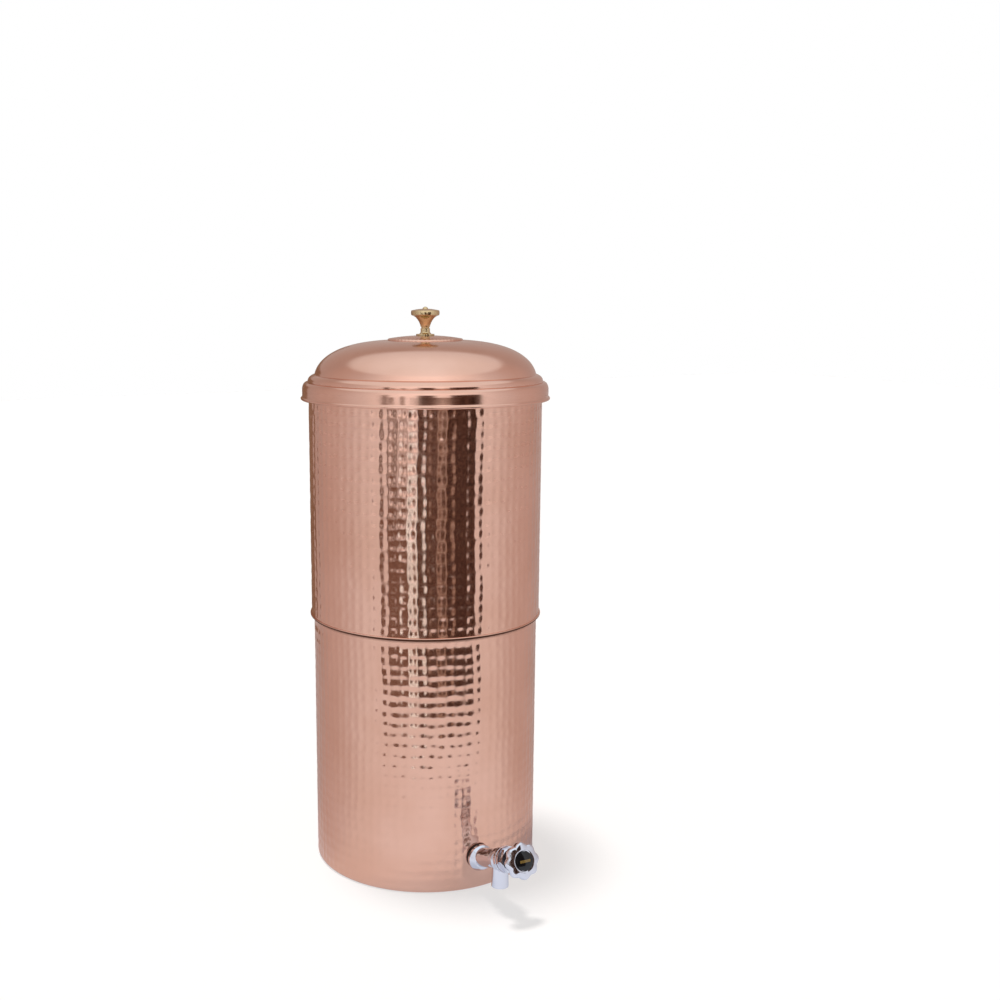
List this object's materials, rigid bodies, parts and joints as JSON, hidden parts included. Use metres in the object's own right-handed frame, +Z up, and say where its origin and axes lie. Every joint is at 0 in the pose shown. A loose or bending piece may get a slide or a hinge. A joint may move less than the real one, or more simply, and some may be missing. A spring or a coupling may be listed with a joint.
{
  "type": "water filter",
  "caption": "Gravity water filter: stacked hammered copper tanks, ceramic candles inside, a domed lid with a brass knob, and a chrome tap with a lobed wheel at the foot.",
  "frame": {"origin": "centre of the lower tank's standing ring, on the ground, on the tanks' axis", "axes": "+Z up along the tanks' axis, -Y out along the tap"},
  "size_m": [0.2452, 0.3238, 0.5585],
  "materials": {
    "hammered_copper": "hammered, polished",
    "spun_copper": "spun, polished",
    "knob_brass": "turned, polished",
    "tap_chrome": "bright plated",
    "plain_brass": "machined",
    "steel": "plain",
    "black_rubber": "moulded",
    "red_fibre": "pressed fibre",
    "black_plastic": "gloss",
    "white_ceramic": "fired, matte",
    "white_plastic": "moulded",
    "pale_silicone": "moulded"
  },
  "bodies": {
    "base_tank": {"lower_tank": "hammered_copper", "tap_body": "tap_chrome", "tap_outer_gasket": "black_rubber", "tap_inner_gasket": "black_rubber", "tap_backing_washer": "steel", "tap_lock_nut": "plain_brass", "tap_bonnet": "tap_chrome", "tap_bonnet_washer": "red_fibre", "tap_gland": "black_plastic"},
    "valve": {"valve_jumper": "plain_brass", "valve_washer": "black_rubber", "valve_nut": "plain_brass"},
    "hand_wheel": {"tap_wheel": "tap_chrome", "tap_spindle": "plain_brass", "spindle_seal": "black_rubber", "wheel_screw": "steel", "wheel_cap": "black_plastic"},
    "top_tank": {"upper_tank": "hammered_copper", "upper_floor": "spun_copper", "candle_ceramic_1": "white_ceramic", "candle_ceramic_2": "white_ceramic", "candle_base_1": "white_plastic", "candle_base_2": "white_plastic", "candle_gasket_1": "pale_silicone", "candle_gasket_2": "pale_silicone", "wing_nut_1": "white_plastic", "wing_nut_2": "white_plastic"},
    "lid_set": {"lid": "spun_copper", "knob_plate": "spun_copper", "knob": "knob_brass", "knob_washer": "steel", "knob_screw": "steel"}
  },
  "joints": [
    {"name": "tank_lift", "type": "slide", "parent": "base_tank", "child": "top_tank", "axis": [0, 0, 1], "range_m": [0, 0.15]},
    {"name": "lid_lift", "type": "slide", "parent": "top_tank", "child": "lid_set", "axis": [0, 0, 1], "range_m": [0, 0.15]},
    {"name": "valve_lift", "type": "slide", "parent": "base_tank", "child": "valve", "axis": [0, -0.9397, 0.342], "range_m": [0, 0.003]},
    {"name": "wheel_turn", "type": "hinge", "parent": "valve", "child": "hand_wheel", "pos_m": [0, -0.1145, 0.033], "axis": [0, -0.9397, 0.342], "range_deg": [0, 540]}
  ],
  "couplings": [
    {"joint": "wheel_turn", "follows": "valve_lift", "rad_per_m": 3141.6}
  ]
}
